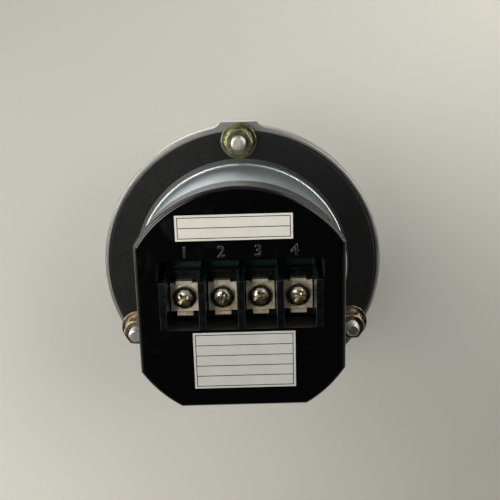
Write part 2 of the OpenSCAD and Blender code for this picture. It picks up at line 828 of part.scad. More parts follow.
module optical_head() color("#1d1d20") difference() {
    block([-head_w / 2, optical_y, optical_bottom], [head_w / 2, board_front_y, optical_top]);
    block([-head_w / 2 - cut, throat_y, optical_bottom - cut], [head_w / 2 + cut, throat_end, throat_top]);
    bar(led_r + pin_gap, optical_y - cut, throat_y + cut, z = slot_r);
    block(
        [-sensor_w / 2 - pin_gap, throat_end - cut, slot_r - sensor_w / 2 - pin_gap],
        [sensor_w / 2 + pin_gap, throat_end + sensor_t, slot_r + sensor_w / 2 + pin_gap]
    );
}

module led_emitter() color("#cfd8ff") translate([0, 0, slot_r])
    revolve_y() rounded_half(led_r, optical_y, throat_y, led_round);

module photo_sensor() color("#3a2f3f") block(
    [-sensor_w / 2, throat_end, slot_r - sensor_w / 2],
    [sensor_w / 2, throat_end + sensor_t, slot_r + sensor_w / 2]
);

// A fixed glass plate in front of the sensor, with one window for each phase.
module index_mask() color("#a8b8c0") difference() {
    block(
        [-mask_w / 2, throat_end - mask_t, slot_r - mask_h / 2],
        [mask_w / 2, throat_end, slot_r + mask_h / 2]
    );
    for (side_x = [-1, 1]) for (side_z = [-1, 1])
        translate([side_x * mask_window_w, throat_end - mask_t / 2, slot_r + side_z * mask_window_h])
            cube([mask_window_w, 2 * mask_t, mask_window_h], center = true);
}

// The ring-shaped raceway of one bearing, about its ball centres.
module raceway() revolve_y() translate([pitch_r, 0]) circle(raceway_r, $fn = 48);

// Copies a piece that is centred on y = 0 to both bearings.
module at_bearings() for (y = [front_bearing_y, rear_bearing_y])
    translate([0, y + bearing_w / 2, 0]) children();

module bearing_outer_rings() color("#b4b8bc") at_bearings() difference() {
    tube(bearing_r, pitch_r + ring_gap, -bearing_w / 2, bearing_w / 2);
    raceway();
}

module bearing_inner_rings() color("#b4b8bc") at_bearings() difference() {
    tube(pitch_r - ring_gap, bearing_bore_r, -bearing_w / 2, bearing_w / 2);
    raceway();
}

module at_balls() for (i = [1 : ball_count])
    rotate([0, i * 360 / ball_count, 0]) translate([pitch_r, 0, 0]) children();

module bearing_balls() color("#d6d9dc") at_bearings() at_balls() sphere(ball_r, $fn = 32);

// Crown cages: the balls enter their pockets from one side.
module bearing_cages() color("#b98f3e") at_bearings() difference() {
    tube(pitch_r + cage_half_t, pitch_r - cage_half_t, cage_drop, ball_r + cage_rim);
    at_balls() sphere(ball_r + pocket_gap, $fn = 32);
}

module wave_washer() color("#a9adb0")
    tube(bearing_r - wave_gap, shoulder_r + wave_gap, front_seat_end - wave_t, front_seat_end);

// A snap ring from y0, between two radii, with its gap at the bottom.
module snap_ring(r, bore_r, y0) difference() {
    tube(r, bore_r, y0, y0 + clip_t);
    block([-clip_opening / 2, y0 - cut, -r - cut], [clip_opening / 2, y0 + clip_t + cut, 0]);
}

module bore_retaining_ring() color("#6f7478")
    snap_ring(bearing_r + clip_bite - clip_gap, shoulder_r, rear_bearing_end);

module shaft_retaining_ring() color("#6f7478") snap_ring(
    pitch_r - ring_gap + shaft_clip_bite, bearing_bore_r - shaft_clip_bite + clip_gap, rear_bearing_end
);

module bearing_spacer() color("#9aa0a4")
    tube(pitch_r - ring_gap, bearing_bore_r + seat_gap, front_bearing_y + bearing_w, rear_bearing_y);

// Notches of half a pitch, evenly spaced round a circle.
module notches(r, depth) for (i = [1 : divisions]) rotate(i * 360 / divisions)
    translate([r, 0]) square([2 * depth, PI * r / divisions], center = true);

module detent_magnet() color("#3b3b3d") tube(magnet_r, magnet_bore_r, stator_y, stator_y + stator_t);

// Both toothed rings have the same number of teeth, so the wheel is held at each of them.
module detent_pole_ring() color("#8c9195") extrude_y(stator_y, stator_y + stator_t) difference() {
    circle(magnet_bore_r);
    circle(stator_bore_r);
    notches(stator_bore_r, tooth_depth);
}

module detent_rotor() color("#9aa0a4") extrude_y(rotor_y, rotor_y + rotor_t) difference() {
    circle(rotor_r);
    circle(bearing_bore_r);
    notches(rotor_r, tooth_depth);
}

module disc_hub() color("#c7a24a") difference() {
    union() {
        bar(disc_hub_r, hub_y, disc_y);
        bar(disc_bore_r, disc_y, hub_end);
    }
    bar(bearing_bore_r, hub_y - cut, hub_end + cut);
}

module encoder_disc() color("#c9ccd0") extrude_y(disc_y, disc_y + disc_t) difference() {
    circle(disc_r);
    circle(disc_bore_r);
    for (i = [1 : divisions]) rotate(i * 360 / divisions)
        translate([slot_r, 0]) square([slot_len, PI * slot_r / divisions], center = true);
}

// The wheel seat's section: a circle with one flat, so that the wheel can't slip.
module seat_outline(gap) intersection() {
    circle(bearing_bore_r + gap);
    translate([-2 * bearing_bore_r, -2 * bearing_bore_r])
        square([4 * bearing_bore_r, 2 * bearing_bore_r + key_flat + gap]);
}

module shaft() color("#c3c7ca") difference() {
    union() {
        extrude_y(nut_seat_y, shaft_collar_y) seat_outline(0);
        bar(thread_r, thread_end, nut_seat_y);
        bar(pitch_r - ring_gap, shaft_collar_y, front_bearing_y);
        bar(bearing_bore_r, front_bearing_y, shaft_end);
    }
    tube(
        bearing_bore_r + cut, bearing_bore_r - shaft_clip_bite,
        rear_bearing_end, rear_bearing_end + clip_t
    );
}

// Half of the wheel's section: skirt, dial cone, grip, dish and hub.
module wheel_section() difference() {
    union() {
        polygon([
            [0, skirt_y],
            [skirt_r, skirt_y],
            [skirt_r, dial_y],
            [dial_in_r, dial_in_y],
            [0, dial_in_y],
        ]);
        translate([0, grip_y + grip_round]) square([grip_r, grip_len]);
        translate([0, grip_y]) square([grip_r - grip_round, grip_len]);
        translate([grip_r - grip_round, grip_y + grip_round]) circle(grip_round);
    }
    polygon([
        [hub_r, skirt_y + cut],
        [skirt_r - wheel_wall, skirt_y + cut],
        [skirt_r - wheel_wall, dial_y + wheel_wall / 2],
        [grip_r - wheel_wall, dial_in_y + wheel_wall],
        [grip_r - wheel_wall, dish_y + wheel_wall],
        [hub_r, dish_y + wheel_wall],
    ]);
    translate([0, grip_y - cut]) square([dish_r, dish_depth + cut]);
    translate([0, shaft_collar_y]) square([hub_r + cut, skirt_y - shaft_collar_y + cut]);
    translate([0, grip_y]) square([nut_recess_r, nut_seat_y - grip_y]);
}

module handwheel() color("#17181a") difference() {
    union() {
        revolve_y() wheel_section();
        bar(spinner_boss_r, dish_y + wheel_wall / 2, spinner_boss_y, z = spinner_offset);
        for (i = [0 : wheel_ribs - 1]) rotate([0, (i + 0.5) * 360 / wheel_ribs, 0]) block(
            [nut_recess_r + hub_wall / 2, dish_y + wheel_wall / 2, -rib_t / 2],
            [grip_r - wheel_wall / 2, dial_in_y, rib_t / 2]
        );
    }
    extrude_y(nut_seat_y - cut, shaft_collar_y + cut) seat_outline(seat_gap);
    bar(spinner_pin_r + seat_gap, dish_y - cut, spinner_boss_y + cut, z = spinner_offset);
    for (i = [1 : flutes]) rotate([0, (i + 0.5) * 360 / flutes, 0])
        bar(flute_r, grip_y - cut, dial_in_y - dial_t - flute_end_gap, grip_r + flute_r - flute_depth);
}

module dial_ring() color("#c8cacc") revolve_y() polygon([
    [skirt_r, dial_y],
    [dial_in_r, dial_in_y],
    [dial_in_r, dial_in_y - dial_t],
    [skirt_r, dial_y - dial_t],
]);

module wheel_washer() color("silver")
    tube(wheel_washer_r, thread_r + fastener_gap, nut_seat_y - wheel_washer_t, nut_seat_y);

module wheel_nut() color("silver") difference() {
    translate([0, nut_seat_y - wheel_washer_t - wheel_nut_h, 0]) rotate([-90, 0, 0])
        cylinder(r = wheel_nut_af / 2 / cos(30), h = wheel_nut_h, $fn = 6);
    bar(thread_r + thread_gap, nut_seat_y - wheel_washer_t - wheel_nut_h - cut, nut_seat_y);
}

module centre_cap() color("#c8cacc") {
    revolve_y() polygon([
        [0, dish_y - cap_t],
        [cap_r - cap_bevel, dish_y - cap_t],
        [cap_r, dish_y - cap_t + cap_bevel],
        [cap_r, dish_y],
        [0, dish_y],
    ]);
    tube(nut_recess_r - seat_gap, nut_recess_r - cap_plug_t, dish_y - cap_t / 2, dish_y + cap_plug);
}

module spinner_pin() color("#c3c7ca") translate([0, 0, spinner_offset]) difference() {
    union() {
        bar(spinner_pin_r, pin_head_y + pin_head_t / 2, spinner_boss_y);
        bar(pin_head_r, pin_head_y, pin_head_y + pin_head_t);
    }
    block(
        [-pin_head_r - cut, pin_head_y - cut, -pin_slot / 2],
        [pin_head_r + cut, pin_head_y + pin_head_t / 2, pin_slot / 2]
    );
}

module spinner_washer() color("silver") tube(
    spinner_boss_r - spinner_washer_inset, spinner_pin_r + seat_gap,
    dish_y - spinner_washer_t, dish_y, z = spinner_offset
);

// The knob widens towards its rounded end, where a counterbore takes the pin's head.
module spinner_knob() color("#121314") translate([0, 0, spinner_offset]) difference() {
    union() {
        cone(knob_r, knob_r - knob_taper, knob_end + knob_round, knob_y);
        mirror([0, 1, 0])
            revolve_y() rounded_half(knob_r, -knob_end - 2 * knob_round, -knob_end, knob_round);
    }
    bar(spinner_pin_r + spinner_gap, knob_end - cut, knob_y + cut);
    bar(pin_head_r + head_gap, knob_end - cut, pin_head_y + pin_head_t + head_gap);
}

flange_body();
panel_gasket();
mounting_studs();
flat_washers();
spring_washers();
hex_nuts();
rear_cover();
upper_label();
lower_label();
terminal_block();
terminal_clamps();
terminal_screws();
terminal_pins();
circuit_board();
board_screws();
board_chips();
board_capacitors();
optical_head();
led_emitter();
photo_sensor();
index_mask();
bearing_outer_rings();
wave_washer();
bore_retaining_ring();
detent_magnet();
detent_pole_ring();
bearing_balls();
bearing_cages();
shaft();
bearing_inner_rings();
bearing_spacer();
shaft_retaining_ring();
detent_rotor();
disc_hub();
encoder_disc();
handwheel();
dial_ring();
wheel_washer();
wheel_nut();
centre_cap();
spinner_pin();
spinner_washer();
spinner_knob();
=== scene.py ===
# Panel-mount manual pulse generator with handwheel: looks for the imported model, in metres.
# The wheel faces -Y, the terminals face +Y, and +Z is up. Left and right are as the camera sees them, from
# behind. A length whose comment gives no unit is in millimetres.

import json
import math

import bmesh
import bpy
from mathutils import Matrix, Vector


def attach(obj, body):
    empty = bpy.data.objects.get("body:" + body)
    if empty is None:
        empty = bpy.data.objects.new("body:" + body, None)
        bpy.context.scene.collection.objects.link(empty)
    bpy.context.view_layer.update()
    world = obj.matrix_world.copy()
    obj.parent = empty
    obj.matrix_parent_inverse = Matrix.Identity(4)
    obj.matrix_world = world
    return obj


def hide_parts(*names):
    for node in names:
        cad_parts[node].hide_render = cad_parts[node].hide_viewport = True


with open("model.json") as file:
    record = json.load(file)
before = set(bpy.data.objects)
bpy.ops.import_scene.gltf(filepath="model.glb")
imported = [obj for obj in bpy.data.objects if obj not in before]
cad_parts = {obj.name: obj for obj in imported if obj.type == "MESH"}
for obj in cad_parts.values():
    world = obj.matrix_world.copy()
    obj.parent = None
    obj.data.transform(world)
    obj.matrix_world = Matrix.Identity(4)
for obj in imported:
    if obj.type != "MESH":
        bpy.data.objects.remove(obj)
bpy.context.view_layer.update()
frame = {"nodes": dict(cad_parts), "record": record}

MM = 0.001


# ---------------------------------------------------------------- objects and turns

def placed(name, data):
    """A new object in the scene."""
    thing = bpy.data.objects.new(name, data)
    bpy.context.scene.collection.objects.link(thing)
    return thing


def mesh_of(name, builder):
    """A mesh from a bmesh, which is freed."""
    mesh = bpy.data.meshes.new(name)
    builder.to_mesh(mesh)
    builder.free()
    return mesh


def turn_to(x_axis, y_axis, z_axis):
    """The turn that lays X, Y and Z along three directions."""
    return Matrix((x_axis, y_axis, z_axis)).transposed().to_4x4()


def square_to(direction, axis):
    """The unit direction nearest to a given one that stands square to an axis."""
    return (direction - direction.dot(axis) * axis).normalized()


# ---------------------------------------------------------------- camera

CAMERA_PLACE = Vector((-3.36, 211.96, 60.99)) * MM
CAMERA_LOOK = Vector((0.0049, -0.9663, -0.2574))
CAMERA_RIGHT = Vector((-0.9996, 0.0023, -0.0276))
CAMERA_LENS = 54.8
CAMERA_SENSOR = 36
CAMERA_NEAREST = 5

back = -CAMERA_LOOK.normalized()
right = square_to(CAMERA_RIGHT, back)
CAMERA_TURN = turn_to(right, back.cross(right), back)

camera = placed("camera", bpy.data.cameras.new("camera"))
camera.data.lens = CAMERA_LENS
camera.data.sensor_width = CAMERA_SENSOR
camera.data.clip_start = CAMERA_NEAREST * MM
camera.matrix_world = Matrix.Translation(CAMERA_PLACE) @ CAMERA_TURN
bpy.context.scene.camera = camera


# ---------------------------------------------------------------- nodes and finishing steps

EDGE_SAMPLES = 6                # rays that look for a sharp edge near a point
EDGE_AGREES = 0.99              # a rounded normal this close to the face's own is clear of any edge
EDGE_TURNED = 0.8               # and one this far from it lies on the edge
MOTTLE_LOW, MOTTLE_HIGH = 0.35, 0.65    # a mottle's values lie mostly between these


def colour(hex_code):
    """A linear colour from an sRGB hex value."""
    parts = [int(hex_code[i:i + 2], 16) / 255 for i in (0, 2, 4)]
    return [p / 12.92 if p <= 0.04045 else ((p + 0.055) / 1.055) ** 2.4 for p in parts] + [1.0]


def add(material, kind, settings=(), stops=(), **inputs):
    """Adds a node. A setting is a property, and a stop is a place and colour on its ramp. An input is a value
    or another node's output, named by its socket, or by _ and the socket's number where names repeat."""
    node = material.node_tree.nodes.new("ShaderNode" + kind)
    for name, value in dict(settings).items():
        setattr(node, name, value)
    if stops:
        steps = node.color_ramp.elements
        while len(steps) < len(stops):
            steps.new(0.5)
        for step, (place, hex_code) in zip(steps, stops):
            step.position = place
            step.color = colour(hex_code)
    for name, value in inputs.items():
        socket = node.inputs[int(name[1:])] if name[1:].isdigit() else node.inputs[name.replace("_", " ")]
        if isinstance(value, bpy.types.NodeSocket):
            material.node_tree.links.new(value, socket)
        else:
            socket.default_value = value
    return node


def feed(material, shader, name, value):
    """Links a node's output to one of a shader's sockets."""
    material.node_tree.links.new(value, shader.inputs[name])


def finish_named(name, base, metallic, roughness, **more):
    """A material with one shader. Returns the material and its shader."""
    material = bpy.data.materials.new(name)
    material.use_nodes = True
    shader = material.node_tree.nodes["Principled BSDF"]
    shader.inputs["Base Color"].default_value = colour(base)
    shader.inputs["Metallic"].default_value = metallic
    shader.inputs["Roughness"].default_value = roughness
    for key, value in more.items():
        shader.inputs[key.replace("_", " ")].default_value = value
    return material, shader


def place_in(material):
    """The point's place on the object, and its three parts."""
    place = add(material, "TexCoord").outputs["Object"]
    return place, add(material, "SeparateXYZ", Vector=place).outputs


def from_axis(material, place):
    """The point's distance from the wheel's axis."""
    across = add(material, "VectorMath", {"operation": "MULTIPLY"}, _0=place, _1=(1, 0, 1)).outputs[0]
    return add(material, "VectorMath", {"operation": "LENGTH"}, _0=across).outputs["Value"]


def mottle(material, size_mm, detail, stretch=(1, 1, 1), distortion=0.0):
    """A cloudy pattern whose patches are about size_mm across."""
    place = add(material, "TexCoord").outputs["Object"]
    scaled = add(material, "Mapping", Vector=place, Scale=[s / (size_mm * MM) for s in stretch])
    return add(material, "TexNoise", Vector=scaled.outputs[0], Scale=1.0, Detail=detail,
               Distortion=distortion).outputs["Fac"]


def tint(material, shader, pattern, *stops):
    """Colours a shader by a pattern, with a ramp's stops of place and colour."""
    feed(material, shader, "Base Color", add(material, "ValToRGB", stops=stops, Fac=pattern).outputs["Color"])


def polish(material, shader, pattern, low, high, start=MOTTLE_LOW, end=MOTTLE_HIGH):
    """Varies a shader's roughness from low to high by a pattern."""
    spread = add(material, "MapRange", Value=pattern, From_Min=start, From_Max=end, To_Min=low, To_Max=high)
    feed(material, shader, "Roughness", spread.outputs[0])


def press(material, shader, pattern, depth_mm):
    """Presses a pattern of depth_mm into a shader's surface."""
    relief = add(material, "Bump", Height=pattern, Distance=depth_mm * MM)
    feed(material, shader, "Normal", relief.outputs[0])


def within(material, *bands):
    """One inside every band of (value, low, high), and nothing elsewhere."""
    inside = 1.0
    for value, low, high in bands:
        for test, limit in (("GREATER_THAN", low), ("LESS_THAN", high)):
            step = add(material, "Math", {"operation": test}, _0=value, _1=limit * MM).outputs[0]
            inside = add(material, "Math", {"operation": "MULTIPLY"}, _0=inside, _1=step).outputs[0]
    return inside


def lay(material, shader, name, mask, value):
    """Lays another colour or roughness over a shader's own where a mask is one."""
    own = shader.inputs[name].links[0].from_socket
    if name == "Base Color":
        mixed = add(material, "Mix", {"data_type": "RGBA"}, _0=mask, _6=own, _7=value).outputs[2]
    else:
        mixed = add(material, "Mix", {"data_type": "FLOAT"}, _0=mask, _2=own, _3=value).outputs[0]
    feed(material, shader, name, mixed)


def near_edges(material, radius_mm):
    """The surface's normal, rounded within radius_mm of a sharp edge."""
    return add(material, "Bevel", {"samples": EDGE_SAMPLES}, Radius=radius_mm * MM).outputs[0]


def soften_edges(material, shader, radius_mm):
    """Rounds a shader's sharp edges, so that they catch the light."""
    feed(material, shader, "Normal", near_edges(material, radius_mm))


def rub_edges(material, shader, radius_mm, highlight_tone):
    """Pales a shader's colour within radius_mm of sharp edges, as a painted highlight."""
    normal = add(material, "NewGeometry").outputs["Normal"]
    agreed = add(material, "VectorMath", {"operation": "DOT_PRODUCT"}, _0=near_edges(material, radius_mm),
                 _1=normal).outputs["Value"]
    edge_highlight = add(material, "MapRange", Value=agreed, From_Min=EDGE_AGREES, From_Max=EDGE_TURNED).outputs[0]
    lay(material, shader, "Base Color", edge_highlight, colour(highlight_tone))


# ---------------------------------------------------------------- finishes

PILOT_R = 30.0                  # the can's turned foot, which enters the panel's hole
PILOT_EDGE_W = 0.8              # how far in from its rim the foot's end shines
PILOT_EDGE_Y = (1.9, 2.9)
COLLAR_R = 31.0                 # the ring of casting that shows between the foot and the gasket
COLLAR_SPILL = 0.3              # its painted shade runs this far under the gasket
COLLAR_Y = (-0.6, -0.1)
COVER_END = 38.0                # y of the cover's flat face
BAND_SLACK = 0.02               # keeps a wall that lies on a band's limit inside the band
WINDOW_REACH = 21.5             # half the width and height of a box round the cover's window
WINDOW_FLOOR = 30.0             # y where that box starts
WINDOW_LIP = 0.3                # and how far short of the cover's face it ends
SIDE_BEGINS = 0.4               # cosine between a face and +Y where it starts to count as a side
SIDE_WHOLE = 0.1                # and where it fully does
UPPER_LABEL = (-12.7, 15.1, 17.2, 23.4)         # lowest and highest x, then z
LOWER_LABEL = (-12.95, 12.05, -20.55, -5.95)
RULE_MARGIN = 0.5               # from a label's edge to the frame printed on it
RULE_W = 0.2
DIAL_RING_W = 0.35


def die_cast_metal():
    """Aluminium die casting, blasted: a fine satin grit over faint clouds. It is cooler and duller on the can,
    darker on the collar beside the gasket, where the dark is painted shade, and bright where the pilot's edge
    was turned. The grit's real pits are about 0.1 mm across, and they are drawn at 0.25 mm so that they show."""
    material, shader = finish_named("die_cast_metal", "a9acae", metallic=0.85, roughness=0.42)
    place, parts = place_in(material)
    radius, along = from_axis(material, place), parts["Y"]
    clouds = mottle(material, 9, detail=5)
    can = within(material, (radius, 0, PILOT_R + BAND_SLACK), (along, 0, COVER_END))
    collar = within(material, (radius, PILOT_R + BAND_SLACK, COLLAR_R + COLLAR_SPILL), (along, *COLLAR_Y))
    turned = within(material, (radius, PILOT_R - PILOT_EDGE_W, PILOT_R + BAND_SLACK), (along, *PILOT_EDGE_Y))
    cooler = add(material, "ValToRGB", Fac=clouds, stops=((0.3, "72797c"), (0.7, "7e8588")))
    tint(material, shader, clouds, (0.3, "81807b"), (0.7, "8c8b86"))
    lay(material, shader, "Base Color", can, cooler.outputs["Color"])
    # painted shade: the collar beside the gasket is coloured dark grey
    lay(material, shader, "Base Color", collar, colour("5a5c5d"))
    lay(material, shader, "Base Color", turned, colour("dcdcd8"))
    polish(material, shader, mottle(material, 6, detail=4), 0.36, 0.44)
    lay(material, shader, "Roughness", can, 0.56)
    lay(material, shader, "Roughness", turned, 0.34)
    grit = mottle(material, 0.25, detail=2)
    smoothed = add(material, "Mix", {"data_type": "FLOAT"}, _0=turned, _2=grit, _3=0.5).outputs[0]
    press(material, shader, smoothed, depth_mm=0.004)
    return material


def moulded_figure():
    """The cover's own black ABS as raised figures: their polished flats are as black as the face round them,
    and their sloping sides are painted pale, as a painted highlight."""
    material, shader = finish_named("moulded_figure", "0a0a0b", metallic=0.0, roughness=0.3, IOR=1.5)
    outward = add(material, "SeparateXYZ", Vector=add(material, "NewGeometry").outputs["Normal"]).outputs["Y"]
    # painted highlight: the figures' sides turn pale the further they turn from the face
    tint(material, shader, outward, (0.75, "626466"), (0.97, "08080a"))
    polish(material, shader, mottle(material, 1, detail=3), 0.22, 0.4)
    return material


def gasket_rubber():
    """Moulded nitrile rubber: matt black, with a dusty bloom in patches of some millimetres, and a moulded skin
    whose 0.1 mm grain is drawn at 0.5 mm so that it shows."""
    material, shader = finish_named("gasket_rubber", "0c0d0e", metallic=0.0, roughness=0.62, IOR=1.5,
                                    Specular_IOR_Level=0.24)
    tint(material, shader, mottle(material, 7, detail=5), (0.3, "0a0b0b"), (0.72, "121314"))
    polish(material, shader, mottle(material, 1.6, detail=4), 0.52, 0.72)
    press(material, shader, mottle(material, 0.5, detail=3), depth_mm=0.012)
    return material


def glossy_moulding():
    """Black ABS from a polished mould: deep gloss with faint flow waves 3 mm long and rubs of 5 mm. It is
    duller down its drawn sides, half dull round its edges, and matt inside the window."""
    material, shader = finish_named("glossy_moulding", "050506", metallic=0.0, roughness=0.1, IOR=1.5,
                                    Specular_IOR_Level=0.42)
    parts = place_in(material)[1]
    recess = within(material, (parts["X"], -WINDOW_REACH, WINDOW_REACH),
                    (parts["Y"], WINDOW_FLOOR, COVER_END - WINDOW_LIP),
                    (parts["Z"], -WINDOW_REACH, WINDOW_REACH))
    outward = add(material, "SeparateXYZ", Vector=add(material, "NewGeometry").outputs["Normal"]).outputs["Y"]
    side = add(material, "MapRange", Value=outward, From_Min=SIDE_BEGINS, From_Max=SIDE_WHOLE).outputs[0]
    edge = add(material, "ValToRGB", Fac=outward, stops=(
        (0.25, "000000"), (0.4, "ffffff"), (0.88, "ffffff"), (0.96, "000000"))).outputs["Color"]
    polish(material, shader, mottle(material, 5, detail=6, distortion=1.0), 0.09, 0.2, start=0.45, end=0.75)
    lay(material, shader, "Roughness", side, 0.3)
    lay(material, shader, "Roughness", edge, 0.16)
    lay(material, shader, "Roughness", recess, 0.75)
    press(material, shader, mottle(material, 3, detail=1), depth_mm=0.004)
    return material


def rule(material, shader, box, rows):
    """Prints an empty form over a shader's colour: a frame, and lines between its rows."""
    x0, x1, z0, z1 = box
    x0, x1, z0, z1 = x0 + RULE_MARGIN, x1 - RULE_MARGIN, z0 + RULE_MARGIN, z1 - RULE_MARGIN
    lines = [(x0, x0 + RULE_W, z0, z1), (x1 - RULE_W, x1, z0, z1)]
    for row in range(rows + 1):
        z = z0 + (z1 - z0 - RULE_W) * row / rows
        lines.append((x0, x1, z, z + RULE_W))
    parts = place_in(material)[1]
    ink = 0.0
    for start, end, low, high in lines:
        line = within(material, (parts["X"], start, end), (parts["Z"], low, high))
        ink = add(material, "Math", {"operation": "MAXIMUM"}, _0=ink, _1=line).outputs[0]
    lay(material, shader, "Base Color", ink, colour("1c1c1d"))


def label_film():
    """Matt polyester label film: warm white, faintly clouded, with a printed form. The film's 0.1 mm tooth is
    drawn at 0.4 mm so that it shows."""
    material, shader = finish_named("label_film", "d4d1c7", metallic=0.0, roughness=0.45, IOR=1.48)
    tint(material, shader, mottle(material, 4, detail=6), (0.25, "cfccc2"), (0.75, "dbd9d0"))
    rule(material, shader, UPPER_LABEL, rows=2)
    press(material, shader, mottle(material, 0.4, detail=3), depth_mm=0.003)
    return material


def grey_label_film():
    """Metallised polyester label film: a cool light grey with a soft sheen and a printed form, and with the
    white film's tooth."""
    material, shader = finish_named("grey_label_film", "c4c4bf", metallic=0.2, roughness=0.42)
    tint(material, shader, mottle(material, 5, detail=5), (0.25, "bfc0bb"), (0.75, "cbcbc6"))
    rule(material, shader, LOWER_LABEL, rows=5)
    press(material, shader, mottle(material, 0.4, detail=3), depth_mm=0.003)
    return material


def terminal_moulding():
    """Glass-filled phenolic, moulded: black and half matt, its edges painted grey as a painted highlight, its
    glass fibres just showing as paler flecks. The fibres are 0.2 mm long and are drawn at 0.5 mm so that they
    show."""
    material, shader = finish_named("terminal_moulding", "050609", metallic=0.0, roughness=0.3, IOR=1.5,
                                    Specular_IOR_Level=0.35)
    fibres = mottle(material, 0.5, detail=2, stretch=(1, 0.3, 1))
    tint(material, shader, fibres, (0.55, "040507"), (0.8, "0d0f13"))
    polish(material, shader, mottle(material, 2, detail=4), 0.2, 0.32)
    # painted highlight: a grey laid along the moulding's sharp edges
    rub_edges(material, shader, 0.16, "4a4d52")
    soften_edges(material, shader, 0.28)
    return material


def bright_nickel():
    """Steel screws with bright nickel plate: a warm white metal, nearly a mirror, waved where they knocked
    together in the barrel. The waves are under 0.5 mm long and are drawn at 0.9 mm so that they show."""
    material, shader = finish_named("bright_nickel", "dcd6c4", metallic=1.0, roughness=0.15)
    polish(material, shader, mottle(material, 1.2, detail=4), 0.16, 0.3)
    tint(material, shader, mottle(material, 2.5, detail=4), (0.3, "cec4aa"), (0.7, "e9e1cf"))
    press(material, shader, mottle(material, 0.9, detail=3), depth_mm=0.05)
    return material


def stamped_nickel():
    """Nickel-plated stampings, left as tumbled: warm and broadly bright, tarnished in patches of 2 to 3 mm,
    with faint scratches up and down. A scratch is 0.05 mm wide and is drawn at 0.3 mm so that it shows."""
    material, shader = finish_named("stamped_nickel", "d6cdb6", metallic=0.8, roughness=0.5)
    polish(material, shader, mottle(material, 0.9, detail=5), 0.34, 0.56)
    tint(material, shader, mottle(material, 2.4, detail=4), (0.35, "c4b698"), (0.62, "f4eddd"))
    press(material, shader, mottle(material, 0.3, detail=3, stretch=(1, 1, 0.2)), depth_mm=0.004)
    return material


def bright_zinc():
    """Turned steel with clear zinc plate: a neutral grey, finely hazed and scuffed. The scuffs are 0.1 mm
    across and are drawn at 0.45 mm so that they show."""
    material, shader = finish_named("bright_zinc", "c8c4bd", metallic=1.0, roughness=0.3)
    polish(material, shader, mottle(material, 0.7, detail=4), 0.3, 0.46)
    tint(material, shader, mottle(material, 1.8, detail=4), (0.3, "a8a49d"), (0.7, "cbc6be"))
    press(material, shader, mottle(material, 0.45, detail=3), depth_mm=0.012)
    return material


def yellow_chromate():
    """Zinc plate with yellow chromate: clouded in patches of about 2 mm by the film's uneven thickness, greener
    round the top stud, and rosier round the two lower ones, where the rose is partly the film's own tint and
    partly a painted reflection of warm light from below."""
    material, shader = finish_named("yellow_chromate", "b8a468", metallic=1.0, roughness=0.27)
    clouds = mottle(material, 2.2, detail=3, distortion=1.5)
    height = place_in(material)[1]["Z"]
    top = add(material, "Math", {"operation": "GREATER_THAN"}, _0=height, _1=0.0).outputs[0]
    greener = add(material, "ValToRGB", Fac=clouds, stops=(
        (0.28, "737957"), (0.42, "828463"), (0.55, "918f6c"), (0.68, "8a8067"), (0.8, "767f5e")))
    # rosier below the axis: partly the film's tint, partly a painted reflection of warm light from below
    tint(material, shader, clouds,
         (0.28, "7f785f"), (0.42, "92876d"), (0.55, "a0947e"), (0.68, "937e6b"), (0.8, "848061"))
    lay(material, shader, "Base Color", top, greener.outputs["Color"])
    polish(material, shader, mottle(material, 2, detail=3), 0.22, 0.32)
    soften_edges(material, shader, 0.3)
    return material


def solder_mask():
    """Green solder mask over glass laminate: glossy, with the weave of 0.6 mm just showing through."""
    material, shader = finish_named("solder_mask", "03251a", metallic=0.0, roughness=0.25, IOR=1.55)
    tint(material, shader, mottle(material, 0.6, detail=2), (0.35, "032017"), (0.65, "062c1f"))
    return material


def moulded_wheel():
    """Nylon from a spark-eroded mould: black, with an even grain that kills the gloss. The grain is 0.1 mm
    across and is drawn at 0.35 mm so that it shows."""
    material, shader = finish_named("moulded_wheel", "111214", metallic=0.0, roughness=0.48, IOR=1.53)
    press(material, shader, mottle(material, 0.35, detail=2), depth_mm=0.012)
    polish(material, shader, mottle(material, 5, detail=4), 0.42, 0.56)
    return material


def polished_knob():
    """Phenolic, tumbled to a soft polish: black, with finger marks of 2 to 3 mm in the gloss."""
    material, shader = finish_named("polished_knob", "0c0c0d", metallic=0.0, roughness=0.2, IOR=1.58)
    polish(material, shader, mottle(material, 2.5, detail=5), 0.15, 0.32)
    return material


def anodised_dial():
    """Satin anodised aluminium, turned: fine bright and dull rings round the axis. The tool's feed is 0.1 mm,
    and its rings are drawn 0.35 mm apart so that they show."""
    material, shader = finish_named("anodised_dial", "c2c5c7", metallic=1.0, roughness=0.33)
    radius = from_axis(material, place_in(material)[0])
    across = add(material, "Math", {"operation": "MULTIPLY"}, _0=radius, _1=1 / (DIAL_RING_W * MM)).outputs[0]
    rings = add(material, "TexNoise", {"noise_dimensions": "1D"}, W=across, Scale=1.0,
                Detail=2.0).outputs["Fac"]
    polish(material, shader, rings, 0.26, 0.42)
    press(material, shader, rings, depth_mm=0.004)
    return material


def small_part(name, base, metallic, roughness, size_mm, spread=0.08, **more):
    """A finish for a small or inner piece: one colour, whose polish is clouded in patches of size_mm."""
    material, shader = finish_named(name, base, metallic, roughness, **more)
    polish(material, shader, mottle(material, size_mm, detail=4), roughness - spread, roughness + spread)
    return material


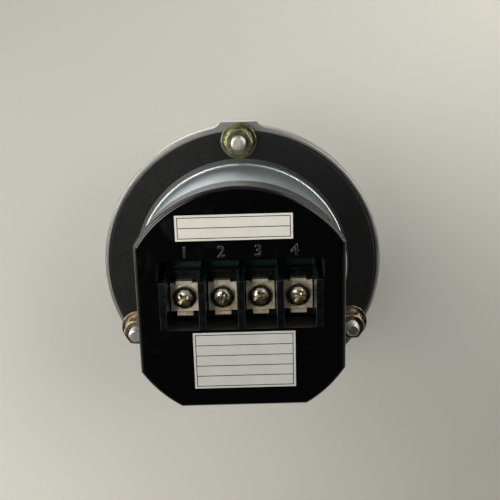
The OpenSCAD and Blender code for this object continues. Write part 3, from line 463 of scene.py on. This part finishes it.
# A small part's row gives its name, colour, metallic, roughness and the size of its clouds.
FINISHES = {
    "die_cast": die_cast_metal(),
    "gasket_rubber": gasket_rubber(),
    "bright_zinc": bright_zinc(),
    "yellow_zinc": yellow_chromate(),
    "cover_plastic": glossy_moulding(),
    "label_film": label_film(),
    "block_plastic": terminal_moulding(),
    "nickel_plate": bright_nickel(),
    "solder_mask": solder_mask(),
    # dipped tin: soft white metal, dulled where the solder ran
    "tinned_pin": small_part("tinned_pin", "c9cac6", 1.0, 0.3, 0.8),
    # filled epoxy, transfer moulded: dark and matt from its filler
    "chip_plastic": small_part("moulded_epoxy", "17171a", 0.0, 0.55, 1.0),
    # aluminium drawn into a can: bright, with dull drawing marks
    "capacitor_can": small_part("drawn_aluminium", "aeb2b6", 1.0, 0.34, 1.5),
    # polycarbonate, moulded: black and half matt
    "head_plastic": small_part("moulded_polycarbonate", "18181b", 0.0, 0.45, 2.0),
    # acrylic, cast: clear and glossy, with a blue cast
    "clear_lens": small_part("clear_lens", "d6dff0", 0.0, 0.08, 1, 0.03, Transmission_Weight=0.85, IOR=1.5),
    # dyed epoxy that passes infrared: nearly black, with a red cast
    "sensor_plastic": small_part("filter_plastic", "2a2029", 0.0, 0.2, 1.0),
    # hardened bearing steel, ground: a cool near-mirror
    "bearing_steel": small_part("ground_bearing_steel", "b9bcc0", 1.0, 0.16, 1.5),
    # spring steel, hardened in oil: a dark grey metal, smeared by its oil
    "spring_steel": small_part("oiled_spring_steel", "6e7276", 1.0, 0.35, 1.0),
    # ferrite, pressed and sintered: dark grey and matt, like a ceramic
    "magnet_ferrite": small_part("sintered_ferrite", "333336", 0.0, 0.6, 0.8),
    # soft iron, hobbed: grey metal with dull tool marks
    "iron_teeth": small_part("machined_iron", "8b9095", 1.0, 0.38, 1.2),
    # brass strip, pressed: yellow metal, slightly dulled
    "cage_brass": small_part("pressed_brass", "b8924a", 1.0, 0.3, 1.0),
    # free-cutting steel, turned: bright grey metal
    "shaft_steel": small_part("turned_steel", "b3b7ba", 1.0, 0.26, 1.2),
    # free-cutting brass, turned: bright yellow metal
    "hub_brass": small_part("turned_brass", "c2a052", 1.0, 0.28, 1.2),
    # stainless foil, etched: smooth and bright, like its rolled sheet
    "disc_steel": small_part("etched_steel", "c6cacd", 1.0, 0.2, 2.0),
    "wheel_plastic": moulded_wheel(),
    "dial_aluminium": anodised_dial(),
    "knob_plastic": polished_knob(),
}
NODE_FINISHES = {"terminal_clamps": stamped_nickel(), "lower_label": grey_label_film()}
# epoxy ink, pad printed: black, with the soft gloss of a thin film
PRINT_INK = small_part("printed_ink", "0e0f11", 0.0, 0.5, 1.0)
RAISED_FIGURE = moulded_figure()


def dress(piece, material):
    """Gives a piece one material."""
    piece.data.materials.clear()
    piece.data.materials.append(material)


for row in frame["record"]["subparts"]:
    dress(frame["nodes"][row["node"]], NODE_FINISHES.get(row["node"], FINISHES[row["material_slot"]]))


# ---------------------------------------------------------------- pieces

WELD = 0.0005                   # points closer than this become one
TURNED_STEPS = 48
SHARP_ANGLE = 30                # degrees between two faces, past which their edge stays sharp


def made(name, builder, slot, body, material=None):
    """Turns a finished bmesh, in millimetres, into a piece that rides on a body."""
    bmesh.ops.recalc_face_normals(builder, faces=builder.faces)
    bmesh.ops.scale(builder, vec=(MM, MM, MM), verts=builder.verts)
    piece = placed(name, mesh_of(name, builder))
    dress(piece, material or FINISHES[slot])
    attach(piece, body)
    return piece


def join_into(whole, part):
    """Adds one bmesh to another and frees it."""
    mesh = mesh_of("part", part)
    whole.from_mesh(mesh)
    bpy.data.meshes.remove(mesh)


def finished_copy(holder):
    """An object's shape with its modifiers, or its curve made a mesh, as a bmesh."""
    result = bmesh.new()
    result.from_mesh(bpy.data.meshes.new_from_object(
        holder.evaluated_get(bpy.context.evaluated_depsgraph_get())))
    return result


def less(body, cutter):
    """One bmesh less another, with exact edges."""
    whole, tool = [placed("part", mesh_of("part", part)) for part in (body, cutter)]
    cut = whole.modifiers.new("cut", "BOOLEAN")
    cut.operation = "DIFFERENCE"
    cut.solver = "EXACT"
    cut.object = tool
    result = finished_copy(whole)
    for holder in (whole, tool):
        bpy.data.objects.remove(holder)
    return result


def turn_about_y(part, degrees):
    """Turns a bmesh about Y."""
    turn = Matrix.Rotation(math.radians(degrees), 3, "Y")
    bmesh.ops.rotate(part, cent=(0, 0, 0), matrix=turn, verts=part.verts)


def stand(part, x_axis, y_axis, place):
    """Turns and moves a bmesh so that its own X and Y lie along two directions."""
    x_axis, y_axis = Vector(x_axis).normalized(), Vector(y_axis).normalized()
    turn = turn_to(x_axis, y_axis, x_axis.cross(y_axis))
    bmesh.ops.transform(part, matrix=Matrix.Translation(place) @ turn, verts=part.verts)
    return part


def add_turned(builder, outline):
    """Adds a solid turned about Y from a (radius, y) outline that starts and ends on the axis."""
    points = [builder.verts.new((r, y, 0)) for r, y in outline]
    edges = [builder.edges.new(pair) for pair in zip(points, points[1:])]
    bmesh.ops.spin(builder, geom=points + edges, cent=(0, 0, 0), axis=(0, 1, 0), angle=math.tau,
                   steps=TURNED_STEPS, use_merge=True)
    bmesh.ops.remove_doubles(builder, verts=builder.verts, dist=WELD)


# ---------------------------------------------------------------- studs

STUD_ANGLES = (90, 210, 330)
STUD_CIRCLE_R = 36.0
STUD_CORE = 1.66
STUD_CREST = 1.99
STUD_PITCH = 0.7
STUD_ROOT_Y = -5.2
STUD_END_Y = 8.1
STUD_CHAMFER = 0.22
STUD_PLAIN_END = 0.8
THREAD_START_Y = 2.6
THREAD_STEPS = 20
THREAD_FOOT = 0.47              # half the ridge's width at its foot, as a share of the pitch
THREAD_TIP = 0.09               # and at its crest
THREAD_SUNK = 0.12              # the ridge's foot lies this far inside the core


def add_thread(builder, core, crest, pitch, start, turns):
    """Adds a helical ridge about Y, closed at both ends."""
    foot, tip = pitch * THREAD_FOOT, pitch * THREAD_TIP
    ridge = [(core - THREAD_SUNK, -foot), (crest, -tip), (crest, tip), (core - THREAD_SUNK, foot)]
    first = builder.faces.new([builder.verts.new((r, start + y, 0)) for r, y in ridge])
    bmesh.ops.spin(builder, geom=[first], cent=(0, 0, 0), axis=(0, 1, 0), dvec=(0, pitch / THREAD_STEPS, 0),
                   angle=math.tau * turns, steps=round(turns * THREAD_STEPS))


def threaded_studs():
    """M4 studs with rolled threads on their free ends."""
    whole = bmesh.new()
    for angle in STUD_ANGLES:
        stud = bmesh.new()
        add_turned(stud, [(0, STUD_ROOT_Y), (STUD_CORE, STUD_ROOT_Y), (STUD_CORE, STUD_END_Y - STUD_CHAMFER),
                          (STUD_CORE - STUD_CHAMFER, STUD_END_Y), (0, STUD_END_Y)])
        turns = (STUD_END_Y - STUD_PLAIN_END - THREAD_START_Y) / STUD_PITCH
        add_thread(stud, STUD_CORE, STUD_CREST, STUD_PITCH, THREAD_START_Y, turns)
        bmesh.ops.recalc_face_normals(stud, faces=stud.faces)
        bmesh.ops.translate(stud, vec=(0, 0, STUD_CIRCLE_R), verts=stud.verts)
        turn_about_y(stud, 90 - angle)
        join_into(whole, stud)
    piece = made("threaded_studs", whole, "bright_zinc", "housing")
    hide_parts("mounting_studs")


# ---------------------------------------------------------------- terminal screws

POLE_X = (-14.25, -4.75, 4.75, 14.25)
POLE_Z = 0.8
CROSS_TURNS = (62, 20, 75, 38)  # degrees, one for each screw as it was driven
HEAD_SEAT_Y = 30.1
HEAD_R = 3.0
HEAD_H = 2.1
HEAD_EDGE = 0.35                # height of the head's upright edge, under its dome
HEAD_FULLNESS = 0.65            # 1 is a plain ellipse, and less is fuller at the edge
DOME_STEP = 10                  # degrees
SHANK_R = 1.5
SHANK_END_Y = 26.7
CROSS_REACH = 2.0
CROSS_HALF = 0.5
CROSS_DEPTH = 1.5
CROSS_CLEAR = 0.4               # the cutter stands this far out of the head
CROSS_FLARE = 1.1               # its reach and width there, as a share of the slot's
CROSS_POINT = 0.4               # its reach at the slot's floor, likewise
CROSS_FLOOR = 0.5               # and its width there


def slot_cutter(turn):
    """One tapered wing of a cross slot, its mouth at y 0."""
    wing = bmesh.new()
    bmesh.ops.create_cube(wing, size=1)
    for corner in wing.verts:
        deep = corner.co.y < 0
        reach = CROSS_REACH * (CROSS_POINT if deep else CROSS_FLARE)
        half = CROSS_HALF * (CROSS_FLOOR if deep else CROSS_FLARE)
        corner.co = (math.copysign(reach, corner.co.x), -CROSS_DEPTH if deep else CROSS_CLEAR,
                     math.copysign(half, corner.co.z))
    turn_about_y(wing, turn)
    bmesh.ops.recalc_face_normals(wing, faces=wing.faces)
    return wing


def terminal_screws():
    """M3 pan-head screws with domed heads and cross slots, each driven to its own angle."""
    whole = bmesh.new()
    steps = [math.radians(step) for step in range(0, 90, DOME_STEP)]
    dome = [(HEAD_R * math.cos(step) ** HEAD_FULLNESS, HEAD_EDGE + (HEAD_H - HEAD_EDGE) * math.sin(step))
            for step in steps]
    shank = [(0, SHANK_END_Y - HEAD_SEAT_Y), (SHANK_R, SHANK_END_Y - HEAD_SEAT_Y), (SHANK_R, 0), (HEAD_R, 0)]
    for x, turn in zip(POLE_X, CROSS_TURNS):
        screw = bmesh.new()
        add_turned(screw, shank + dome + [(0, HEAD_H)])
        bmesh.ops.recalc_face_normals(screw, faces=screw.faces)
        for quarter in (0, 90):
            wing = slot_cutter(turn + quarter)
            bmesh.ops.translate(wing, vec=(0, HEAD_H, 0), verts=wing.verts)
            screw = less(screw, wing)
        for face in screw.faces:
            face.smooth = True
        bmesh.ops.translate(screw, vec=(x, HEAD_SEAT_Y, POLE_Z), verts=screw.verts)
        join_into(whole, screw)
    piece = made("cross_slot_screws", whole, "nickel_plate", "housing")
    piece.data.set_sharp_from_angle(angle=math.radians(SHARP_ANGLE))
    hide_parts("terminal_screws")


# ---------------------------------------------------------------- numbers, graduations and index

FIGURE_SHARE = 0.7              # a figure's height as a share of its font's size
NUMERAL_Z = 14.3
NUMERAL_H = 2.7
NUMERAL_FLAT = 0.04
NUMERAL_SLOPE = 0.08
NUMERAL_SPREAD = 0.92           # the numbers stand this much closer together than the terminals
DIAL_OUTER = (34.5, -10.4)      # radius and y of the dial's cone at its two edges
DIAL_INNER = (27.8, -12.8)
DIAL_STEPS = 100
DIAL_MIDDLE = 5                 # steps between marks of middle length, and between long ones
DIAL_LONG = 10
DIAL_EDGE_GAP = 0.5
MARK_W = 0.28
MARK_LONG, MARK_MIDDLE, MARK_SHORT = 2.3, 1.8, 1.3
MARK_T = 0.02                   # how far a print stands off the dial, and how far it goes in
DIAL_NUMBER_H = 2.1
DIAL_NUMBER_DROP = 1.7          # from a long mark's end to its number's middle
BEZEL_FACE_Y = -9.0
BEZEL_INNER_R = 35.0
BEZEL_OUTER_R = 38.4
INDEX_W = 2.6
INDEX_DEPTH = 0.3
INDEX_MARGIN = 0.6
PAINT_T = 0.1
PAINT_TIP_GAP = 0.15            # from the recess's tip, sides and base to the paint
PAINT_SIDE_GAP = 0.1
PAINT_BASE_GAP = 0.05


def figures(words, height_mm, thickness_mm, slope_mm=0.0):
    """Figures in the XY plane, read from +Z, centred, as a bmesh in millimetres."""
    words_curve = bpy.data.curves.new("words", "FONT")
    words_curve.body = words
    words_curve.size = height_mm / FIGURE_SHARE
    words_curve.extrude = thickness_mm / 2
    words_curve.bevel_depth = slope_mm
    words_curve.align_x = "CENTER"
    words_curve.align_y = "CENTER"
    holder = placed("words", words_curve)
    result = finished_copy(holder)
    bpy.data.objects.remove(holder)
    bmesh.ops.remove_doubles(result, verts=result.verts, dist=WELD)
    return result


def terminal_numerals():
    """Raised numbers over the terminals, moulded with the cover."""
    whole = bmesh.new()
    for number, x in enumerate(reversed(POLE_X), 1):
        numeral = figures(str(number), NUMERAL_H, NUMERAL_FLAT, NUMERAL_SLOPE)
        join_into(whole, stand(numeral, (-1, 0, 0), (0, 0, 1), (x * NUMERAL_SPREAD, COVER_END, NUMERAL_Z)))
    made("terminal_numerals", whole, "cover_plastic", "housing", RAISED_FIGURE)


def dial_print():
    """A hundred graduations and ten numbers printed on the dial's cone."""
    slope = Vector((DIAL_OUTER[0] - DIAL_INNER[0], DIAL_OUTER[1] - DIAL_INNER[1])).normalized()
    whole = bmesh.new()

    def on_cone(part, turn, down):
        """Lays a part on the cone, a distance down its slope from the outer edge."""
        around = math.radians(90 + turn)
        outward = (slope.x * math.cos(around), slope.y, slope.x * math.sin(around))
        radius, y = DIAL_OUTER[0] - slope.x * down, DIAL_OUTER[1] - slope.y * down
        stand(part, (math.sin(around), 0, -math.cos(around)), outward,
              (radius * math.cos(around), y, radius * math.sin(around)))
        join_into(whole, part)

    for step in range(DIAL_STEPS):
        turn = step * 360 / DIAL_STEPS
        length = MARK_LONG if step % DIAL_LONG == 0 else MARK_MIDDLE if step % DIAL_MIDDLE == 0 else MARK_SHORT
        mark = bmesh.new()
        bmesh.ops.create_cube(mark, size=1)
        bmesh.ops.scale(mark, vec=(MARK_W, length, 2 * MARK_T), verts=mark.verts)
        on_cone(mark, turn, DIAL_EDGE_GAP + length / 2)
        if step % DIAL_LONG == 0:
            number = figures(str(step), DIAL_NUMBER_H, 2 * MARK_T)
            on_cone(number, turn, DIAL_EDGE_GAP + MARK_LONG + DIAL_NUMBER_DROP)
    made("dial_print", whole, "dial_aluminium", "wheel", PRINT_INK)


def index_paint():
    """Black paint laid in the index mark at the top of the bezel."""
    half, base = INDEX_W / 2 - PAINT_SIDE_GAP, BEZEL_OUTER_R - INDEX_MARGIN - PAINT_BASE_GAP
    tip = BEZEL_INNER_R + INDEX_MARGIN + PAINT_TIP_GAP
    paint = bmesh.new()
    corners = [paint.verts.new(point) for point in ((0, 0, tip), (half, 0, base), (-half, 0, base))]
    raised = bmesh.ops.extrude_face_region(paint, geom=[paint.faces.new(corners)])["geom"]
    raised = [part for part in raised if isinstance(part, bmesh.types.BMVert)]
    bmesh.ops.translate(paint, vec=(0, PAINT_T, 0), verts=raised)
    bmesh.ops.translate(paint, vec=(0, BEZEL_FACE_Y + INDEX_DEPTH - PAINT_T, 0), verts=paint.verts)
    made("index_paint", paint, "die_cast", "housing", PRINT_INK)


threaded_studs()
terminal_screws()
terminal_numerals()
dial_print()
index_paint()


# ---------------------------------------------------------------- surface and lights

BOARD_HALF = 400
BOARD_AWAY = 265                # from the camera, along its view
BOARD_PAINTED_LIGHT_SPAN = 0.0064             # square metres: x times z where the board's painted light is palest, and its painted shade darkest the other way
BOARD_TONE = "b9b6b0"
WALL_TONE = "e6e4de"
SKY_TONE = "d6dfe6"
COVER_MIRRORS = (0, 0.966, -0.257)      # where a ray from the camera goes off the cover's flat face
LAMP_TONE = "fffdf8"
TUBE_SIZE = (60, 500)


def pale_board():
    """Painted board: matt, with painted light and shade that make it paler towards two of its corners and
    darker towards the other two. From behind it is clear, so that it never hides the object."""
    material, shader = finish_named("pale_board", BOARD_TONE, metallic=0.0, roughness=0.7)
    parts = place_in(material)[1]
    corner = add(material, "Math", {"operation": "MULTIPLY"}, _0=parts["X"], _1=parts["Z"]).outputs[0]
    # painted light and shade across the board, from the product of x and z
    painted_light_level = add(material, "MapRange", Value=corner, From_Min=BOARD_PAINTED_LIGHT_SPAN, From_Max=-BOARD_PAINTED_LIGHT_SPAN).outputs[0]
    tint(material, shader, painted_light_level, (0.0, "a4a29c"), (0.5, "b5b3ad"), (1.0, "c8c6be"))
    facing = add(material, "NewGeometry").outputs["Backfacing"]
    clear = add(material, "BsdfTransparent").outputs[0]
    mixed = add(material, "MixShader", _0=facing, _1=shader.outputs[0], _2=clear).outputs[0]
    feed(material, material.node_tree.nodes["Material Output"], "Surface", mixed)
    return material


def backdrop():
    """A board square to the camera, just past the wheel's face. It casts no shadow, so the front stays lit."""
    builder = bmesh.new()
    bmesh.ops.create_grid(builder, x_segments=1, y_segments=1, size=BOARD_HALF)
    surface = placed("surface", mesh_of("surface", builder))
    surface.data.transform(Matrix.Translation(CAMERA_PLACE + CAMERA_LOOK * BOARD_AWAY * MM)
                           @ CAMERA_TURN @ Matrix.Scale(MM, 4))
    surface.visible_shadow = False
    dress(surface, pale_board())


def lamp(name, place_mm, size_mm, watts, shade=LAMP_TONE, along=(0, 0, 1)):
    """A soft lamp that faces the object, as wide and as long as size_mm. Its length lies along a direction."""
    light = bpy.data.lights.new(name, "AREA")
    light.shape = "RECTANGLE"
    light.size, light.size_y = (s * MM for s in size_mm)
    light.energy = watts
    light.color = colour(shade)[:3]
    place = Vector(place_mm) * MM
    away = place.normalized()
    length = square_to(Vector(along), away)
    placed(name, light).matrix_world = Matrix.Translation(place) @ turn_to(length.cross(away), length, away)


def room():
    """A pale room, brightest overhead and to the left, and dark where the cover's face mirrors it. Where the
    camera sees the room itself, it has the board's tone."""
    world = bpy.data.worlds.new("room")
    world.use_nodes = True
    shade = world.node_tree.nodes["Background"]
    toward = add(world, "TexCoord").outputs["Generated"]

    def side(direction, start, end, low, high):
        """A level that goes from low to high as a ray turns to a direction, between two cosines."""
        facing = add(world, "VectorMath", {"operation": "DOT_PRODUCT"}, _0=toward, _1=direction)
        return add(world, "MapRange", {"interpolation_type": "SMOOTHSTEP"}, Value=facing.outputs["Value"],
                   From_Min=start, From_Max=end, To_Min=low, To_Max=high).outputs[0]

    def joined(operation, first, second):
        """Two levels added or multiplied."""
        return add(world, "Math", {"operation": operation}, _0=first, _1=second).outputs[0]

    overhead = side((0, 0, 1), -0.2, 0.9, 0.1, 0.45)
    left_side = side((1, 0, 0), 0.0, 0.9, 0.0, 0.35)
    right_side = side((-1, 0, 0), 0.0, 0.9, 0.0, 0.2)
    front_side = side((0, -1, 0), 0.0, 0.9, 0.0, 0.3)
    mirrored = side(COVER_MIRRORS, 0.72, 0.93, 1.0, 0.1)
    walls = joined("ADD", joined("ADD", overhead, left_side), joined("ADD", right_side, front_side))
    seen = add(world, "LightPath").outputs["Is Camera Ray"]
    level = add(world, "Mix", {"data_type": "FLOAT"}, _0=seen, _2=joined("MULTIPLY", walls, mirrored), _3=1.0)
    lit = add(world, "Mix", {"data_type": "RGBA"}, _0=side((0, 0, 1), 0.3, 0.9, 0.0, 1.0),
              _6=colour(WALL_TONE), _7=colour(SKY_TONE))
    shown = add(world, "Mix", {"data_type": "RGBA"}, _0=seen, _6=lit.outputs[2], _7=colour(BOARD_TONE))
    feed(world, shade, "Strength", level.outputs[0])
    feed(world, shade, "Color", shown.outputs[2])
    bpy.context.scene.world = world


backdrop()
room()
# Two soft lamps behind the camera, windows at the sides, tubes whose long reflections draw the flange's rim,
# and a fill in front for the wheel's own side.
lamp("behind_left", (210, 480, 30), (200, 200), 0.8)
lamp("behind_right", (-230, 440, 150), (120, 120), 0.25)
lamp("left_window", (520, 220, 130), (160, 560), 1.8)
lamp("right_tube", (-370, 135, 250), TUBE_SIZE, 1.0, along=(-317, -46, -392))
lamp("left_tube", (370, 135, 250), TUBE_SIZE, 1.0, along=(317, -46, -392))
lamp("right_window", (-360, 270, 110), (60, 200), 0.2, "fff6ea")
lamp("front_fill", (150, -420, 260), (300, 300), 3, "ffffff")

bpy.context.scene.view_settings.view_transform = "Standard"
